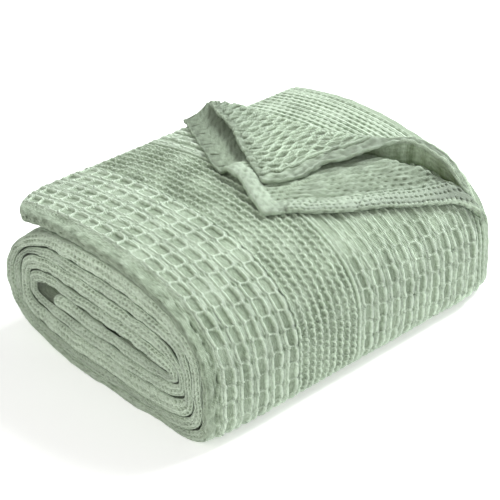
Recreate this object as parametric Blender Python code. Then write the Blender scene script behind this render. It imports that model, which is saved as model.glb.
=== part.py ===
"""Waffle weave cotton blanket, folded in six across its width, rolled up flat, one corner turned back.

The roll's axis is Y, its flat underside lies on z = 0, and its free end lies on top, to the left (-X).
The blanket is one cloth with turned hems, so it is one solid: the rolled strip, and the two upper
layers of its free end, which stand up along a slanting crest and lie back over the top.
Table values are in millimetres; everything built from them is in metres.
"""

import bpy
import numpy as np

MM = 0.001

# Driving sizes of the roll
ROLL_LENGTH = 382.0
TURN_GAP = 0.9
END_ROUNDING = 6.0
END_NARROWING = 0.38
NEAR_CORNER_LENGTH = 60.0
NEAR_CORNER_DEPTH = 50.0
FAR_CORNER_LENGTH = 4.0
FAR_CORNER_DEPTH = 4.0
DRAWN_IN_LENGTH = 60.0
DRAWN_IN_SHARE = 0.03
FREE_EDGE_X = -139.7
FREE_EDGE_DROOP = 14.0
FREE_EDGE_SWELL = 3.0
FREE_EDGE_SEGMENTS = 7
FREE_NOSE_DIRECTION = (-1.0, -0.2)
CORE_NOSE_DIRECTION = (-1.0, 0.1)
NOSE_ANGLES = (45.0, 90.0, 135.0)
# x of the middle of the outline, where the origin is
MIDDLE_X = 0.95
# Behind the crest the outermost face lies lower, down to this many quarter turns from its top.
PEELED_DEPTH = 5.0
PEELED_SLOPE = 14.0
PEELED_UNTIL = 1.5
PEELED_FADE = 0.6

# The winding spiral, a row for each turn from the outside in. The columns are where the outer face
# of that turn is highest, furthest right, lowest and furthest left, each as (x, z).
TURNS = (
    ((-27.0, 144.0), (148.5, 50.0), (38.0, -1.8), (-137.2, 62.0)),
    ((-27.0, 132.5), (138.5, 51.0), (40.0, 7.0), (-125.0, 62.0)),
    ((-27.0, 112.5), (127.5, 53.0), (20.0, 16.5), (-115.0, 61.0)),
    ((-27.0, 98.0), (117.0, 55.0), (9.0, 35.5), (-101.0, 60.0)),
    ((-27.0, 81.5), (107.5, 60.0), (9.0, 49.5), (-90.0, 58.0)),
    ((-27.0, 67.0), (95.0, 65.0), (9.0, 65.0), (-82.0, 59.0)),
)
# How much each turn slopes down to the right, as a share of x.
TURN_TILTS = (0.00, 0.00, 0.03, 0.05, 0.05, 0.10)
QUARTERS = 4
# Roundness of the four quarters of a turn: 2 is an ellipse, more is squarer.
OUTER_QUARTERS = (2.4, 6.0, 2.6, 2.0)
INNER_QUARTERS = (3.4, 3.4, 3.4, 3.4)
# Turns from the outermost at which the quarters' roundness starts to change, and over how many.
ROUNDNESS_FROM = 0.5
ROUNDNESS_OVER = 2.0
# How far the innermost stretch runs, in quarter turns from the top of the outermost turn.
CORE_END = 18.44
SHORTEST_SEGMENT = 0.05
# The outermost turn's own underside has no other turn to clear until it has come back to the left.
FIRST_CLEARED_PLACE = 3.0
SEGMENTS_PER_QUARTER = (8, 8, 7, 6, 6, 6, 5, 5, 5, 5, 5, 5, 4, 4, 4, 4, 4, 4, 4)

# Cross-sections along the roll, measured in from each end, and between the ends
END_STATIONS = (0.0, 1.2, 3.0, 6.0)
NEAR_STATIONS = (12.0, 24.0, 42.0, 60.0)
BODY_STATIONS = (0.0, 66.0, 82.0, 98.0, 114.0, 130.0, 146.0, 162.0, 176.0)

# The turned-back layers. Each row is one line across the layer, from its hem to its standing crest:
# the hem's place, the crest's place, and how far each is lifted off the top of the roll.
TOP_FACE_PLACES = 161
LAYER_THICKNESS = 3.4
ROOT_DEPTH = 8.2
ROOT_BACK = 6.5
LAYER_COLUMNS = ("hem_x", "hem_y", "hem_lift", "crest_x", "crest_y", "crest_lift")
LOWER_LAYER = (
    (-142.0, 38.0, 5.0, -142.0, 64.0, 9.5),
    (-100.0, 20.0, 3.2, -100.0, 69.0, 9.0),
    (-60.0, -2.0, 3.0, -60.0, 72.0, 9.0),
    (-24.0, -21.0, 3.0, -22.0, 76.0, 9.0),
    (-2.0, -22.0, 8.5, -2.0, 82.0, 9.0),
    (16.0, -25.0, 6.5, 16.0, 88.0, 9.0),
    (36.0, -34.0, 3.8, 28.0, 94.0, 9.5),
    (58.5, -41.5, 3.0, 38.0, 99.0, 10.0),
    (74.0, -8.0, 3.0, 50.0, 105.0, 10.0),
    (91.0, 27.0, 3.0, 64.0, 112.0, 10.0),
    (104.0, 67.0, 3.0, 80.0, 122.0, 10.5),
    (116.0, 103.0, 3.0, 95.0, 133.0, 10.5),
    (127.0, 138.0, 3.0, 113.0, 147.0, 9.5),
    (134.0, 157.0, 3.0, 125.0, 157.0, 7.0),
)
UPPER_LAYER = (
    (-142.0, 67.0, 12.5, -142.0, 77.0, 14.5),
    (-105.0, 55.0, 12.0, -108.0, 81.0, 12.5),
    (-73.0, 42.0, 13.0, -68.0, 82.0, 15.0),
    (-33.0, 18.0, 12.0, -18.0, 87.0, 18.5),
    (-4.0, 3.0, 10.5, 0.0, 91.0, 19.0),
    (28.5, -12.0, 8.5, 15.0, 97.0, 20.0),
    (42.0, 22.0, 9.5, 30.0, 104.0, 21.0),
    (46.0, 50.0, 13.0, 40.0, 109.0, 22.0),
    (54.0, 79.0, 16.0, 50.0, 116.0, 22.5),
    (59.0, 100.0, 19.0, 58.0, 123.0, 23.0),
    (66.0, 122.0, 22.5, 68.0, 132.0, 24.0),
    (82.0, 137.0, 24.0, 80.0, 143.0, 25.0),
    (98.0, 143.0, 24.0, 96.0, 149.0, 25.0),
    (112.0, 148.0, 20.5, 110.0, 154.0, 22.0),
    (124.0, 152.0, 15.0, 123.0, 158.0, 17.0),
    (133.0, 158.0, 9.0, 131.0, 163.0, 10.5),
)
CREST_STEPS = (0.0, 0.2, 0.4, 0.6, 0.8, 1.0)
ROOT_STEPS = (0.33, 0.66, 1.0)

SAGE = (0.47, 0.59, 0.45)
COTTON_ROUGHNESS = 0.92


def clear_scene():
    for thing in list(bpy.data.objects):
        bpy.data.objects.remove(thing, do_unlink=True)


def cotton_material(name):
    material = bpy.data.materials.new(name)
    material.use_nodes = True
    shader = material.node_tree.nodes["Principled BSDF"]
    shader.inputs["Base Color"].default_value = (*SAGE, 1.0)
    shader.inputs["Roughness"].default_value = COTTON_ROUGHNESS
    shader.inputs["Metallic"].default_value = 0.0
    return material


def quarter_arc(start, end, share, roundness, starts_level):
    """A quarter of a superellipse from start to end; starts_level where it leaves start sideways."""
    angle = share * np.pi / 2
    rise = np.sin(angle) ** (2 / roundness)
    fall = np.cos(angle) ** (2 / roundness)
    if starts_level:
        return start[0] + (end[0] - start[0]) * rise, end[1] + (start[1] - end[1]) * fall
    return end[0] + (start[0] - end[0]) * fall, start[1] + (end[1] - start[1]) * rise


def spiral_point(quarters):
    """The winding spiral's point, the given number of quarter turns on from the outermost top."""
    count = int(np.floor(quarters))
    if quarters < 0:
        reach = FREE_EDGE_X - TURNS[0][0][0]
        top_x, top_z = TURNS[0][0]
        return np.array((top_x - quarters * reach, top_z - FREE_EDGE_DROOP * quarters**2))
    turn, side = divmod(count, QUARTERS)
    after_turn, after_side = divmod(count + 1, QUARTERS)
    after_turn = min(after_turn, len(TURNS) - 1)
    start = TURNS[turn][side]
    end = TURNS[after_turn][after_side]
    blend = np.clip((turn - ROUNDNESS_FROM) / ROUNDNESS_OVER, 0, 1)
    roundness = OUTER_QUARTERS[side] + (INNER_QUARTERS[side] - OUTER_QUARTERS[side]) * blend
    share = quarters - count
    x, z = quarter_arc(start, end, share, roundness, side in (0, 2))
    tilt = TURN_TILTS[turn] + (TURN_TILTS[after_turn] - TURN_TILTS[turn]) * share
    return np.array((x, z - tilt * x))


def strip_faces(quarters):
    """The strip's outer and inner face at one place along the winding, half a gap inside its turn."""
    outer = spiral_point(quarters)
    if quarters < 0:
        thickness = TURNS[0][0][1] - TURNS[1][0][1] + FREE_EDGE_SWELL * quarters**2
        inner = outer - np.array((0.0, thickness))
    else:
        inner = spiral_point(quarters + QUARTERS)
    through = inner - outer
    share = 0.5 * TURN_GAP / np.linalg.norm(through)
    outer_share = share if quarters > FIRST_CLEARED_PLACE else 0.0
    return outer + through * outer_share, inner - through * share


def winding_places():
    """Places along the winding, in quarter turns, from the free end's line to the core."""
    places = list(np.linspace(-1.0, 0.0, FREE_EDGE_SEGMENTS, endpoint=False))
    for quarter, segments in enumerate(SEGMENTS_PER_QUARTER):
        places.extend(quarter + np.arange(segments) / segments)
    places = [place for place in places if place < CORE_END - SHORTEST_SEGMENT]
    return np.array(places + [CORE_END])


def corner_trim(y):
    """How far the free edge draws back at a rounded corner, as a share of its quarter."""
    length = NEAR_CORNER_LENGTH if y < 0 else FAR_CORNER_LENGTH
    depth = NEAR_CORNER_DEPTH if y < 0 else FAR_CORNER_DEPTH
    into_corner = np.clip(1 - (ROLL_LENGTH / 2 - abs(y)) / length, 0, 1)
    drawn_back = depth * (1 - np.sqrt(1 - into_corner**2))
    return drawn_back / abs(FREE_EDGE_X - TURNS[0][0][0])


def drawn_in(x, y):
    """x at y: the roll is a little narrower at its near end and, on the right, at its far end."""
    into_end = np.clip(1 - (ROLL_LENGTH / 2 - abs(y)) / DRAWN_IN_LENGTH, 0, 1)
    share = DRAWN_IN_SHARE if y < 0 or x > 0 else 0.0
    return x * (1 - share * into_end**2)


def crest_y(x):
    """The y of the standing crest at x, read along the upper layer's rows."""
    columns = dict(zip(LAYER_COLUMNS, zip(*UPPER_LAYER)))
    return np.interp(x, columns["crest_x"], columns["crest_y"])


def peeled(x, y, quarters):
    """How much lower the outermost face lies behind the crest, where two layers are turned back."""
    behind = np.clip((y - crest_y(x)) / PEELED_SLOPE + 0.5, 0, 1)
    down_the_side = np.clip((PEELED_UNTIL - quarters) / PEELED_FADE, 0, 1)
    return PEELED_DEPTH * behind**2 * (3 - 2 * behind) * down_the_side


def section(y):
    """The closed outline of the rolled strip at y: out along its outer face, back along its inner."""
    half = ROLL_LENGTH / 2
    into_end = np.clip((END_ROUNDING - (half - abs(y))) / END_ROUNDING, 0, 1)
    fullness = END_NARROWING + (1 - END_NARROWING) * np.sqrt(1 - into_end**2)
    outer_face = []
    inner_face = []
    for place in winding_places():
        trimmed = place * (1 - corner_trim(y)) if place < 0 else place
        outer, inner = strip_faces(trimmed)
        if place < PEELED_UNTIL:
            through = (inner - outer) / np.linalg.norm(inner - outer)
            outer = outer + through * peeled(outer[0], y, place)
        middle = (outer + inner) / 2
        outer = middle + (outer - middle) * fullness
        inner = middle + (inner - middle) * fullness
        outer = np.array((drawn_in(outer[0], y), max(outer[1], 0.0)))
        inner = np.array((drawn_in(inner[0], y), inner[1]))
        outer_face.append(outer)
        inner_face.append(inner)
    free_nose = round_nose(outer_face[0], inner_face[0], FREE_NOSE_DIRECTION)
    core_nose = round_nose(inner_face[-1], outer_face[-1], CORE_NOSE_DIRECTION)
    return outer_face + core_nose[::-1] + inner_face[::-1] + free_nose[::-1]


def round_nose(upper, lower, outward):
    """The points that round off an end of the strip, from its upper to its lower face."""
    middle = (upper + lower) / 2
    half = (upper - lower) / 2
    reach = np.linalg.norm(half) * np.array(outward) / np.linalg.norm(outward)
    angles = np.radians(NOSE_ANGLES)
    return [middle + half * np.cos(a) + reach * np.sin(a) for a in angles]


def stations():
    half = ROLL_LENGTH / 2
    near = [-half + d for d in END_STATIONS + NEAR_STATIONS]
    far = [half - d for d in END_STATIONS]
    return sorted(near + list(BODY_STATIONS) + far)


def end_cap(ring, count):
    """Faces that close one end: a ladder between the two faces, and a cap over each nose."""
    nose = len(NOSE_ANGLES)
    inner_start = count + nose
    ladder = []
    for step in range(count - 1):
        inner = inner_start + count - 1 - step
        ladder.append((ring + step, ring + step + 1, ring + inner - 1, ring + inner))
    core = [ring + count - 1 + step for step in range(nose + 2)]
    free = [ring + inner_start + count - 1 + step for step in range(nose + 1)] + [ring]
    return ladder + [tuple(core), tuple(free)]


def make_mesh(name, points, faces):
    mesh = bpy.data.meshes.new(name)
    mesh.from_pydata(np.array(points) * MM, [], faces)
    mesh.validate()
    mesh.update()
    thing = bpy.data.objects.new(name, mesh)
    bpy.context.collection.objects.link(thing)
    return thing


def rolled_strip(name):
    places = stations()
    rings = [section(y) for y in places]
    size = len(rings[0])
    points = [(x - MIDDLE_X, y, z) for y, ring in zip(places, rings) for x, z in ring]
    faces = []
    for station in range(len(places) - 1):
        for corner in range(size):
            near = station * size + corner
            near_next = station * size + (corner + 1) % size
            faces.append((near, near_next, near_next + size, near + size))
    count = (size - 2 * len(NOSE_ANGLES)) // 2
    faces += [face[::-1] for face in end_cap(0, count)]
    faces += end_cap((len(places) - 1) * size, count)
    return make_mesh(name, points, faces)


def top_face(x):
    """Height and outward direction of the roll's outermost face at x, over its top."""
    places = np.linspace(-1.0, 1.0, TOP_FACE_PLACES)
    curve = np.array([spiral_point(place) for place in places])
    z = np.interp(x, curve[:, 0], curve[:, 1])
    slope = np.interp(x, curve[:, 0], np.gradient(curve[:, 1], curve[:, 0]))
    length = np.hypot(slope, 1.0)
    return z, -slope / length, 1.0 / length


def lifted(x, y, lift):
    z, outward_x, outward_z = top_face(x)
    return np.array((x + outward_x * lift, y, z + outward_z * lift))


def layer_line(row):
    """One line across a turned-back layer: from its hem up to the crest, over it, down to its root."""
    at = dict(zip(LAYER_COLUMNS, row))
    line = []
    for step in CREST_STEPS:
        eased = np.sin(step * np.pi / 2)
        x = at["hem_x"] + (at["crest_x"] - at["hem_x"]) * step
        y = at["hem_y"] + (at["crest_y"] - at["hem_y"]) * step
        lift = at["hem_lift"] + (at["crest_lift"] - at["hem_lift"]) * eased
        line.append(lifted(x, y, lift))
    for step in ROOT_STEPS:
        angle = step * np.pi / 2
        lift = at["crest_lift"] - (at["crest_lift"] + ROOT_DEPTH) * (1 - np.cos(angle))
        line.append(lifted(at["crest_x"], at["crest_y"] + ROOT_BACK * np.sin(angle), lift))
    return line


def turned_back_layer(name, rows):
    """A closed sheet of even thickness about the surface through the rows."""
    rows = np.array(rows)
    between = (rows[:-1] + rows[1:]) / 2
    lines = np.empty((2 * len(rows) - 1, rows.shape[1]))
    lines[0::2] = rows
    lines[1::2] = between
    middle = np.array([layer_line(row) for row in lines])
    along, across = middle.shape[:2]
    outward = np.cross(np.gradient(middle, axis=0), np.gradient(middle, axis=1))
    outward /= np.linalg.norm(outward, axis=2, keepdims=True)
    half = outward * LAYER_THICKNESS / 2
    points = np.concatenate(((middle + half).reshape(-1, 3), (middle - half).reshape(-1, 3)))
    points[:, 0] -= MIDDLE_X
    below = along * across
    faces = []
    for i in range(along - 1):
        for j in range(across - 1):
            a = i * across + j
            faces.append((a, a + across, a + across + 1, a + 1))
            faces.append((below + a + 1, below + a + across + 1, below + a + across, below + a))
    rim = [i * across for i in range(along)]
    rim += [(along - 1) * across + j for j in range(1, across)]
    rim += [i * across + across - 1 for i in range(along - 2, -1, -1)]
    rim += list(range(across - 2, 0, -1))
    for a, b in zip(rim, rim[1:] + rim[:1]):
        faces.append((b, a, below + a, below + b))
    return make_mesh(name, points, faces)


def join_into(body, piece):
    """Fuse a guide shape into the body with an exact union."""
    piece.hide_render = True
    piece.display_type = "WIRE"
    union = body.modifiers.new(piece.name, "BOOLEAN")
    union.operation = "UNION"
    union.solver = "EXACT"
    union.object = piece


def build():
    clear_scene()
    blanket = rolled_strip("blanket")
    join_into(blanket, turned_back_layer("upper_layer", UPPER_LAYER))
    join_into(blanket, turned_back_layer("lower_layer", LOWER_LAYER))
    blanket.data.materials.append(cotton_material("waffle_cotton"))


build()
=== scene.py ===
import bpy
import numpy as np
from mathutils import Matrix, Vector


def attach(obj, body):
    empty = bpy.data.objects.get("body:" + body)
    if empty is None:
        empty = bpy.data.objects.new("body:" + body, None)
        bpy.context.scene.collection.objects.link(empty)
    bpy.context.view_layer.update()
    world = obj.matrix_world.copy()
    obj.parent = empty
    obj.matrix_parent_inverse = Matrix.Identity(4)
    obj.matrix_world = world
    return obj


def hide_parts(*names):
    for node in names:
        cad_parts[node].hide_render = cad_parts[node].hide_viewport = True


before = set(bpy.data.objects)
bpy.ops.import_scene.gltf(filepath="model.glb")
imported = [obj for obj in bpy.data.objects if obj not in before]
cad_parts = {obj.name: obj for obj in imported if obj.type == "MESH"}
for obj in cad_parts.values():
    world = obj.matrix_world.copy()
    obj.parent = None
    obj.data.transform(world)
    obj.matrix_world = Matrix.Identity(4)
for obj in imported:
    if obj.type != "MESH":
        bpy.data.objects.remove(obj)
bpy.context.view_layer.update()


# --------------------------------------
# The outermost turn, near band. The blanket is one length of cotton waffle weave, folded in six into
# a strip and rolled up flat. Beside the roll's near end five columns of large honeycomb cells run
# round it, and the strip's folded edge is mottled, with soft streaks down the side.

# Lengths are in mm: y runs along the roll away from its near end, x to the right, and z up.
MM = 0.001
HALF_LENGTH = 191.0
# The roll's outline has its middle this far right of the winding's own zero.
MIDDLE_X = 0.95
# Where each turn's outer face is highest, furthest right, lowest and furthest left, as (x, z).
TURNS = np.array((
    ((-27, 144), (148.5, 50), (38, -1.8), (-137.2, 62)),
    ((-27, 132.5), (138.5, 51), (40, 7), (-125, 62)),
    ((-27, 112.5), (127.5, 53), (20, 16.5), (-115, 61)),
    ((-27, 98), (117, 55), (9, 35.5), (-101, 60)),
    ((-27, 81.5), (107.5, 60), (9, 49.5), (-90, 58)),
    ((-27, 67), (95, 65), (9, 65), (-82, 59)),
))
QUARTERS = 4
# How much each turn slopes down to the right, as a share of x.
TURN_TILTS = np.array((0.00, 0.00, 0.03, 0.05, 0.05, 0.10))
# Superellipse exponents of a turn's quarters, where 2 is an ellipse and more is squarer. The
# outermost turn's own ease into one value over two turns.
OUTER_ROUNDNESS = np.array((2.4, 6.0, 2.6, 2.0))
INNER_ROUNDNESS = 3.4
ROUNDNESS_FROM = 0.5
ROUNDNESS_OVER = 2.0
# A place on the winding is a number of quarter turns from the outermost turn's highest point: -1 at
# the free edge, OUTER_TURN_END once round, and CORE_END at the core. A pair of places is where
# something starts to change and where it has changed.
OUTER_TURN_END = 4.0
CORE_END = 18.44
# Inside the outermost turn the cloth puckers a little, differently in each quarter.
PUCKER = 0.5
PUCKERED_FROM = (3.6, 4.6)
PUCKER_LENGTH = 34.0
PUCKER_SHIFT = 31.0
# The free end droops and swells towards its edge, with the square of the way.
FREE_EDGE_X = -139.7
FREE_EDGE_DROOP = 14.0
FREE_EDGE_SWELL = 3.0
# The gap between turns. The outermost turn is looser on top, and full size until it goes under.
TURN_GAP = 2.0
LOOSENESS = 2.2
LOOSE_UNTIL = (0.8, 1.8)
FULL_SIZE_UNTIL = (2.6, 3.4)


def smooth_step(value, start, end):
    """0 before start and 1 after end, with a cubic ease between them."""
    t = np.clip((value - start) / (end - start), 0, 1)
    return t * t * (3 - 2 * t)


def mixed(first, second, share):
    """The first value where share is 0 and the second where it is 1, in proportion between them."""
    return first + (second - first) * share


def waves(a, b, length, seed):
    """Soft unevenness between about -1 and 1 over a plane of points (a, b).

    It adds up five sine waves of nearly that length, with directions and phases from the seed.
    """
    total = 0
    for k in range(5):
        angle = seed * 1.7 + k * 2.4
        pace = 2 * np.pi / length * (0.75 + 0.13 * k)
        total = total + np.sin(pace * (a * np.cos(angle) + b * np.sin(angle)) + seed * 3.1 + 1.9 * k)
    return total / 2.6


def quarter_roundness(count):
    """Superellipse exponent of the quarter turn of that number."""
    inside = np.clip((count // QUARTERS - ROUNDNESS_FROM) / ROUNDNESS_OVER, 0, 1)
    return OUTER_ROUNDNESS[count % QUARTERS] * (1 - inside) + INNER_ROUNDNESS * inside


def winding(q):
    """Outer face of the winding at places q, as (x, z).

    Each quarter is a superellipse arc from one point of TURNS to the next, whose height loses the
    turn's tilt times x and gains the puckers. Before 0 the free end runs evenly to the left, and
    falls with q squared.
    """
    corners = TURNS.reshape(-1, 2)
    count = np.clip(np.floor(q).astype(int), 0, len(corners) - 2)
    share = np.clip(q - count, 0, 1)
    start_x, start_z = corners[count, 0], corners[count, 1]
    end_x, end_z = corners[count + 1, 0], corners[count + 1, 1]
    power = 2 / quarter_roundness(count)
    rise = np.sin(share * np.pi / 2) ** power
    fall = np.cos(share * np.pi / 2).clip(0) ** power
    starts_level = count % 2 == 0
    x = np.where(starts_level, mixed(start_x, end_x, rise), mixed(end_x, start_x, fall))
    z = np.where(starts_level, mixed(end_z, start_z, fall), mixed(start_z, end_z, rise))
    z = z - x * mixed(TURN_TILTS[count // QUARTERS], TURN_TILTS[(count + 1) // QUARTERS], share)
    z = z + PUCKER * smooth_step(q, *PUCKERED_FROM) * waves(x, PUCKER_SHIFT * count, PUCKER_LENGTH, 2.0)
    top_x, top_z = corners[0]
    x = np.where(q < 0, top_x - q * (FREE_EDGE_X - top_x), x)
    z = np.where(q < 0, top_z - FREE_EDGE_DROOP * q**2, z)
    return np.stack((x, z), axis=-1)


def strip_faces(q):
    """Outer and inner face of the wound strip: turns q and q + 4, each giving way by half the gap.

    At the free end the inner face hangs under the outer one by the step between the two outermost
    turns, and by more with q squared.
    """
    outer = winding(q)
    inner = winding(np.maximum(q, 0) + QUARTERS)
    thickness = TURNS[0, 0, 1] - TURNS[1, 0, 1] + FREE_EDGE_SWELL * q**2
    hanging = outer - np.stack((np.zeros_like(thickness), thickness), axis=-1)
    inner = np.where((q < 0)[..., None], hanging, inner)
    through = inner - outer
    half_gap = through * 0.5 * TURN_GAP / np.linalg.norm(through, axis=-1, keepdims=True)
    narrowed = smooth_step(q, *FULL_SIZE_UNTIL)[..., None]
    loose = mixed(LOOSENESS, 1.0, smooth_step(q, *LOOSE_UNTIL))[..., None]
    return outer + half_gap * narrowed, inner - half_gap * loose


def winding_table():
    """Places along the winding, close together, with the distance along it at each.

    The first half of a quarter has even steps of the arc's rise, and the second half mirrors it.
    """
    free_end_places = 100
    half_quarter_places = 160
    places = [np.linspace(-1, 0, free_end_places, endpoint=False)]
    for count in range(int(CORE_END) + 1):
        power = quarter_roundness(np.array(count)) / 2
        middle = 0.5 ** (0.5 / power)
        even = np.linspace(0, middle, half_quarter_places)
        rising = np.arcsin(even**power) * 2 / np.pi
        places += [count + rising[:-1], count + 1 - rising[::-1][:-1]]
    places = np.concatenate(places)
    steps = np.linalg.norm(np.diff(winding(places), axis=0), axis=1)
    distance = np.concatenate(((0.0,), np.cumsum(steps)))
    return places, distance - np.interp(0, places, distance)


PLACES, DISTANCES = winding_table()


def place_at(distance):
    """The place q at a distance along the winding from the outermost turn's highest point."""
    return np.interp(distance, DISTANCES, PLACES)


def distance_at(q):
    """The distance along the winding from the outermost turn's highest point to a place q."""
    return np.interp(q, PLACES, DISTANCES)


# The free edge's corners are rounded in plan, by a length along the roll and a depth across it.
NEAR_CORNER = (60.0, 50.0)
FAR_CORNER = (4.0, 4.0)
# Towards its ends the roll narrows by a share of x, though not at the far left.
DRAWN_IN_LENGTH = 60.0
DRAWN_IN_SHARE = 0.03
# The turned-back layers stand up along this crest, as (x, y). Behind it the cloth that they were
# peeled from is thinner: both of its faces lie lower, and it keeps a least thickness.
CREST = np.array((
    (-142, 77), (-108, 81), (-68, 82), (-18, 87), (0, 91), (15, 97),
    (30, 104), (40, 109), (50, 116), (58, 123), (68, 132), (80, 143),
    (96, 149), (110, 154), (123, 158), (131, 163),
))
CREST_EASE = 7
PEELED_DEPTH = 5.0
PEELED_UNDERSIDE = 1.5
PEELED_THICKNESS = 2.2
# The roll's top, where the cloth is peeled, gives way to its side between these places.
TOP_UNTIL = (0.9, 1.5)
# The top's far left corner reaches out past the roll's far end, from these y on and up to these x.
FAR_REACH = 12.0
FAR_REACH_Y = (90, 185)
FAR_REACH_X = (-110, 110)


def corner_trim(y):
    """Share of the free end's length that a rounded corner takes away at y: a quarter ellipse."""
    length = np.where(y < 0, NEAR_CORNER[0], FAR_CORNER[0])
    depth = np.where(y < 0, NEAR_CORNER[1], FAR_CORNER[1])
    into = np.clip(1 - (HALF_LENGTH - np.abs(y)) / length, 0, 1)
    return depth * (1 - np.sqrt(1 - into**2)) / abs(FREE_EDGE_X - TURNS[0, 0, 0])


def behind_crest(x, y):
    """0 in front of the standing crest and 1 behind it."""
    return smooth_step(y - np.interp(x, CREST[:, 0], CREST[:, 1]), -CREST_EASE, CREST_EASE)


def drawn_in(x, y):
    """x in the part's frame, where the roll narrows with the square of the way into its ends."""
    into_end = np.clip(1 - (HALF_LENGTH - np.abs(y)) / DRAWN_IN_LENGTH, 0, 1)
    return x * (1 - np.where((y < 0) | (x > 0), DRAWN_IN_SHARE, 0) * into_end**2) - MIDDLE_X


def strip_grid(q, y, depth, lift):
    """Points of the wound strip on a grid of places q by positions y, as (x, y, z).

    depth is 0 on the outer face and 1 on the inner one, and lift moves a point out along the
    face's normal, a quarter turn from its run. On the top, both faces lie lower behind the crest,
    and the far left corner reaches out. Nothing goes below the floor.
    """
    trimmed = np.where(q < 0, q * (1 - corner_trim(y)), q)
    outer, inner = strip_faces(trimmed)
    through = inner - outer
    thickness = np.linalg.norm(through, axis=-1)
    through /= thickness[..., None]
    on_top = 1 - smooth_step(q, *TOP_UNTIL)
    peeled = behind_crest(outer[..., 0], y) * on_top
    inner_lowered = PEELED_UNDERSIDE * peeled
    most = np.maximum(thickness + inner_lowered - PEELED_THICKNESS, 0)
    outer_lowered = np.minimum(PEELED_DEPTH * peeled, most)
    inner = inner + through * inner_lowered[..., None]
    outer = outer + through * outer_lowered[..., None]
    run = np.gradient(outer, axis=0)
    run /= np.linalg.norm(run, axis=-1, keepdims=True) + 1e-9
    normal = np.stack((-run[..., 1], run[..., 0]), axis=-1)
    point = outer + (inner - outer) * depth[..., None] + normal * lift[..., None]
    x, z = point[..., 0], point[..., 1]
    reach = FAR_REACH * smooth_step(y, *FAR_REACH_Y) * (1 - smooth_step(x, *FAR_REACH_X))
    return np.stack((drawn_in(x, y), y + reach * on_top, np.maximum(z, 0.0)), axis=-1)


def nose(depth, lift, lengths, reach):
    """Round off an end of a strip by a quarter circle of that reach, over the lengths to the end.

    depth closes to the strip's middle, and lift to nothing.
    """
    closing = np.sqrt(1 - np.clip(1 - lengths / reach, 0, 1) ** 2)[:, None]
    return 0.5 + (depth - 0.5) * closing, lift * closing


def ring_mesh(name, points, across, along, relief, material):
    """A closed, smooth skin from a grid of rings: each joins the next, and a face closes each end.

    The UV map is the distance along and across the cloth in metres. relief is 0 low and 1 high.
    """
    rings, size = points.shape[:2]
    first = np.arange(rings - 1)[:, None] * size
    here = np.arange(size)[None, :]
    after = (here + 1) % size
    quads = np.stack((first + here, first + after, first + size + after, first + size + here), axis=-1)
    faces = quads.reshape(-1, 4).tolist()
    faces.append(list(range(size))[::-1])
    faces.append(list(range((rings - 1) * size, rings * size)))
    mesh = bpy.data.meshes.new(name)
    mesh.from_pydata((points.reshape(-1, 3) * MM).tolist(), [], faces)
    mesh.update()
    corner_vertex = np.empty(len(mesh.loops), int)
    mesh.loops.foreach_get("vertex_index", corner_vertex)
    flat = np.stack(np.broadcast_arrays(along, across, relief)[:2], axis=-1).reshape(-1, 2)
    layer = mesh.uv_layers.new(name="cloth")
    layer.data.foreach_set("uv", (flat[corner_vertex] * MM).astype(np.float32).ravel())
    height = mesh.attributes.new("relief", "FLOAT", "POINT")
    height.data.foreach_set("value", relief.astype(np.float32).ravel())
    mesh.polygons.foreach_set("use_smooth", np.ones(len(mesh.polygons), bool))
    mesh.materials.append(material)
    thing = bpy.data.objects.new(name, mesh)
    bpy.context.scene.collection.objects.link(thing)
    return thing


def cord(distance, width):
    """A soft raised cord: cosine squared over its half-width."""
    return np.cos(np.pi / 2 * np.clip(distance / width, -1, 1)) ** 2


def rope(distance, radius):
    """A round rope seen in section: a half ellipse of that half-width, 1 at its middle."""
    return np.sqrt(1 - np.clip(np.abs(distance) / radius, 0, 1) ** 2)


# The ropes round a large cell, and the strand beside them.
ROPE_RADIUS = 1.15
ROPE_HEIGHT = 1.15
BAR_RADIUS = 1.1
STRAND_ASIDE = 2.5
STRAND_RADIUS = 1.0
STRAND_HEIGHT = 0.55
# Half the length and width of the dimple beside a bar, and the ease from a cell to its band.
DIMPLE_HALVES = (5.5, 2.8)
BAND_EASE = 0.8
# The ropes are nearest to each other this share of a cell's length from its middle.
CLOSEST_AT = 0.53


def honeycomb(along, across, pitch_along, pitch_across, half_wide, waist, pinch, bars, level, dimples):
    """Height of large cells, about 0 on their floor and 1 on the ropes round them.

    A wavy rope follows each side of a column of cells: half_wide from its middle line beside a
    cell, and nearer by the share pinch between two cells. It draws in from the share waist of the
    cell's length. A thin rope of height bars crosses as the bar between two cells. Between two
    columns lies a band at that level, with a low strand beside each wavy rope, and beside each bar
    a long dimple of depth dimples.
    """
    from_middle = np.abs((along / pitch_along) % 1 - 0.5) * pitch_along
    aside = np.abs((across / pitch_across) % 1 - 0.5) * pitch_across
    drawing_in = smooth_step(from_middle, waist * pitch_along, CLOSEST_AT * pitch_along)
    side = half_wide * (1 - pinch * drawing_in)
    strand = STRAND_HEIGHT * rope(aside - side - STRAND_ASIDE, STRAND_RADIUS)
    from_bar = from_middle - pitch_along / 2
    bar = bars * rope(from_bar, BAR_RADIUS) * (aside < side)
    from_dimple = np.hypot(from_bar / DIMPLE_HALVES[0], (aside - pitch_across / 2) / DIMPLE_HALVES[1])
    band = smooth_step(aside, side, side + BAND_EASE) * (level - dimples * cord(from_dimple, 1.0))
    ropes = np.maximum(ROPE_HEIGHT * rope(aside - side, ROPE_RADIUS), bar)
    return np.maximum(ropes, np.maximum(strand, band))


def dashes(along, across, pitch_along, pitch_across, length, width):
    """Rows of long dimples, every other row shifted by half: 1 in a dimple's middle, 0 between them.

    length and width are a dimple's, as shares of the two pitches.
    """
    row = np.round(across / pitch_across)
    from_middle = ((along / pitch_along + 0.5 * (row % 2)) % 1 - 0.5) * 2
    return cord(np.hypot(from_middle / length, (across / pitch_across - row) * 2 / width), 1.0)


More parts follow.
